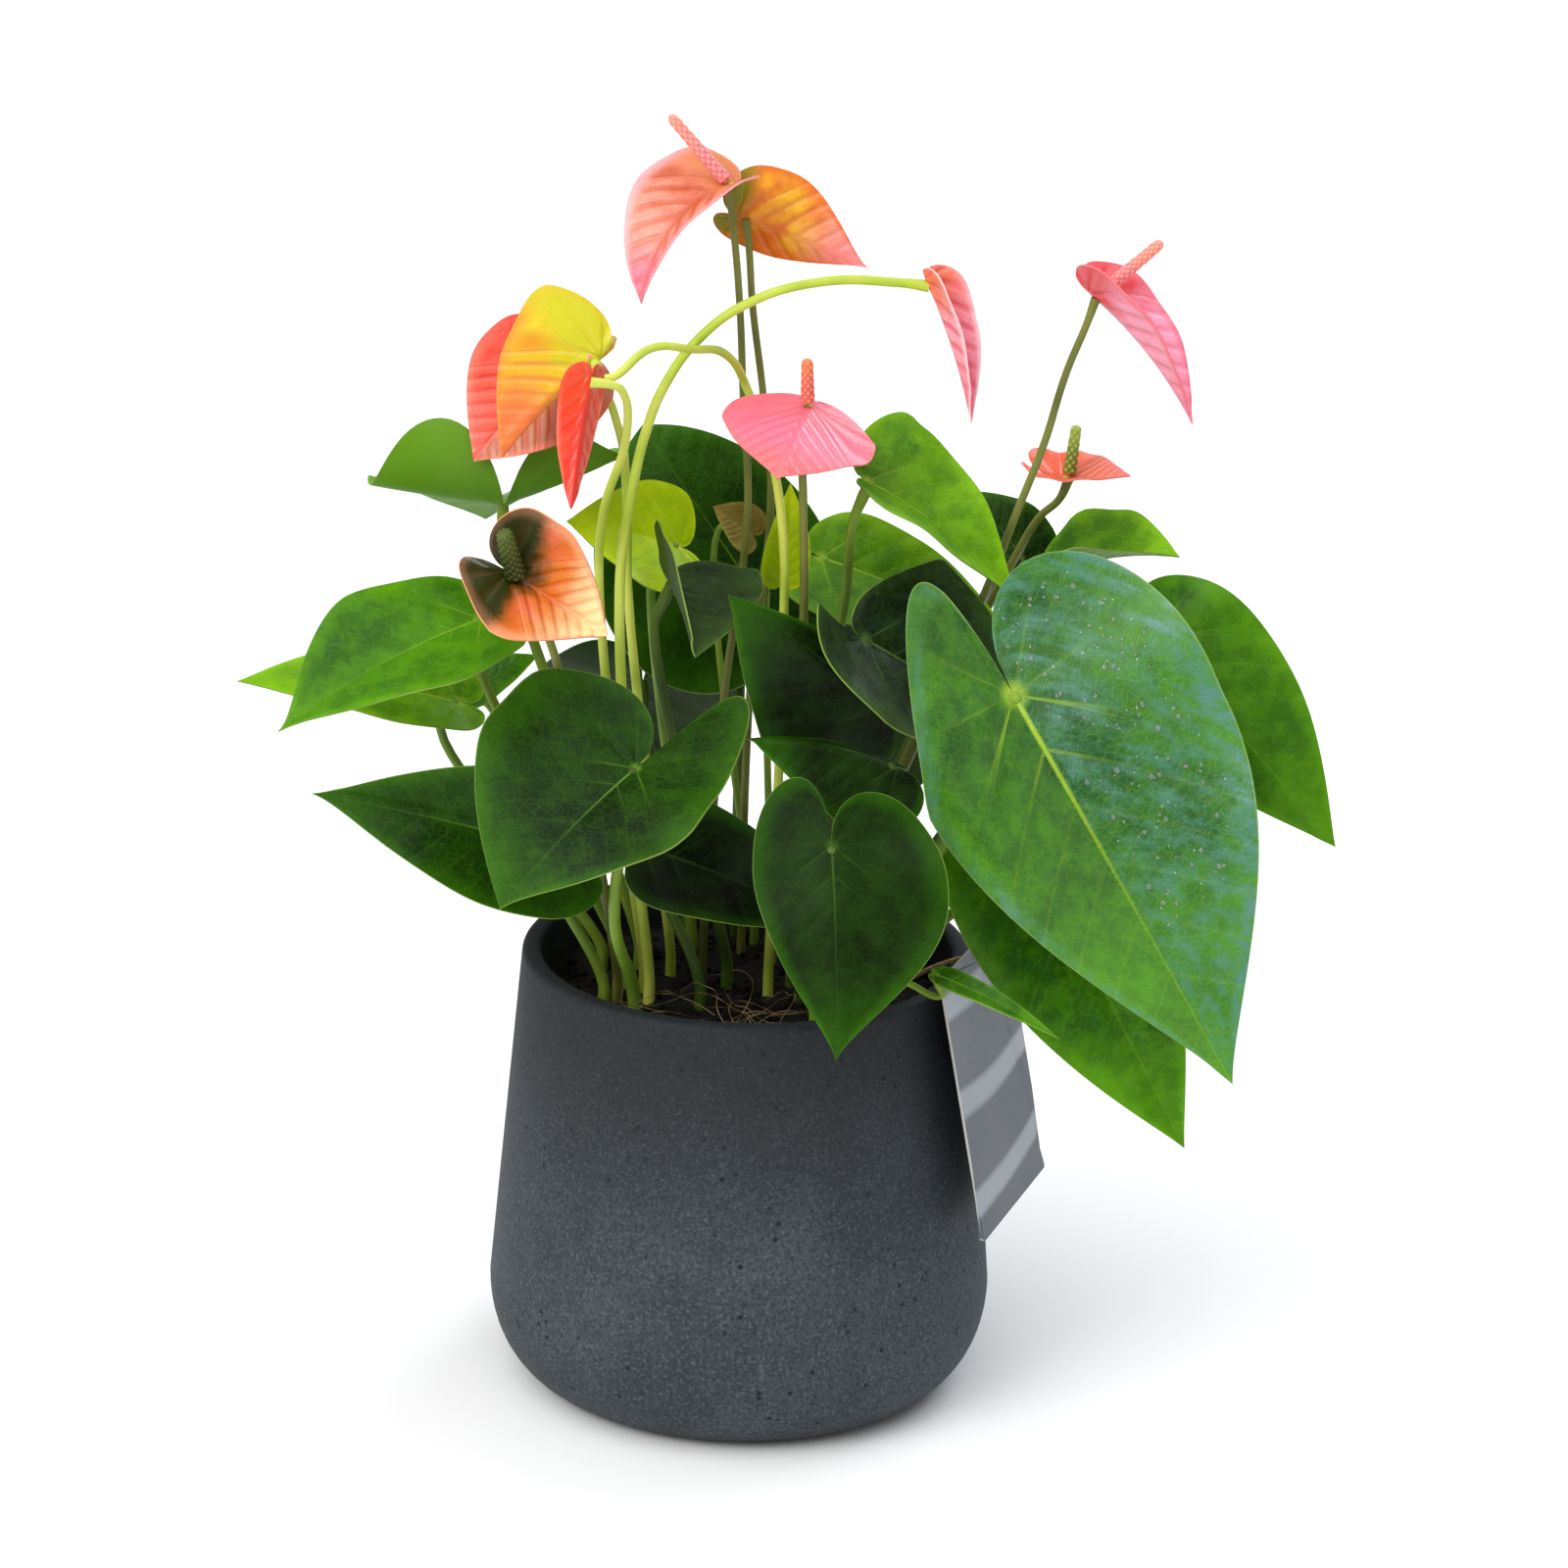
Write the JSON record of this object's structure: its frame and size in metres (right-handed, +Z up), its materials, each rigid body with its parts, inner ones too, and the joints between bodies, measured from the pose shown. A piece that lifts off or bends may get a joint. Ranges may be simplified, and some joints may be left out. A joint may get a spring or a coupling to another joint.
{
  "type": "potted flamingo flower",
  "caption": "Flamingo flower (anthurium) with heart-shaped leaves and pink, orange and yellow blooms, in a round tapered cement pot with a small card tied to it.",
  "frame": {"origin": "centre of the pot's underside", "axes": "+Z up along the pot's axis; the picture is seen from -Y, with +X to its right"},
  "size_m": [0.34, 0.2027, 0.4063],
  "materials": {
    "card": "matt print",
    "leaf": "glossy leaf",
    "pot": "matt cement, fine pits",
    "raffia": "dry fibre",
    "soil": "loose potting soil",
    "spadix_green": "satin, bumpy",
    "spadix_pink": "satin, bumpy",
    "spathe_orange": "waxy",
    "spathe_pink": "waxy",
    "spathe_red": "waxy",
    "spathe_yellow": "waxy",
    "stem": "satin plant tissue",
    "young_leaf": "glossy young leaf"
  },
  "bodies": {
    "root": {"card": "card", "flower_bud_spadix": "spadix_pink", "flower_bud_spathe": "spathe_red", "flower_bud_stem": "stem", "flower_centre_spadix": "spadix_pink", "flower_centre_spathe": "spathe_pink", "flower_centre_stem": "stem", "flower_cup_spadix": "spadix_green", "flower_cup_spathe": "spathe_orange", "flower_cup_stem": "stem", "flower_hanging_spadix": "spadix_pink", "flower_hanging_spathe": "spathe_pink", "flower_hanging_stem": "stem", "flower_orange_spadix": "spadix_green", "flower_orange_spathe": "spathe_orange", "flower_orange_stem": "stem", "flower_red_spadix": "spadix_pink", "flower_red_spathe": "spathe_red", "flower_red_stem": "stem", "flower_right_spadix": "spadix_pink", "flower_right_spathe": "spathe_pink", "flower_right_stem": "stem", "flower_small_spadix": "spadix_green", "flower_small_spathe": "spathe_orange", "flower_small_stem": "stem", "flower_top_spadix": "spadix_pink", "flower_top_spathe": "spathe_pink", "flower_top_stem": "stem", "flower_yellow_spadix": "spadix_pink", "flower_yellow_spathe": "spathe_yellow", "flower_yellow_stem": "stem", "leaf_back_bright": "leaf", "leaf_back_small": "leaf", "leaf_back_tall": "leaf", "leaf_bud_brown": "young_leaf", "leaf_bud_olive": "young_leaf", "leaf_butterfly": "leaf", "leaf_centre_curled": "leaf", "leaf_crown": "leaf", "leaf_front": "leaf", "leaf_front_left": "leaf", "leaf_front_low": "leaf", "leaf_front_right": "leaf", "leaf_inner_edge": "leaf", "leaf_inner_right": "leaf", "leaf_left": "leaf", "leaf_left_behind": "leaf", "leaf_left_small": "leaf", "leaf_low_left": "leaf", "leaf_low_right": "leaf", "leaf_rear_left": "leaf", "leaf_rear_right": "leaf", "leaf_right": "leaf", "leaf_right_flat": "leaf", "leaf_strap": "young_leaf", "leaf_winged": "leaf", "leaf_young_left": "young_leaf", "pot": "pot", "raffia": "raffia", "soil": "soil"}
  },
  "joints": []
}
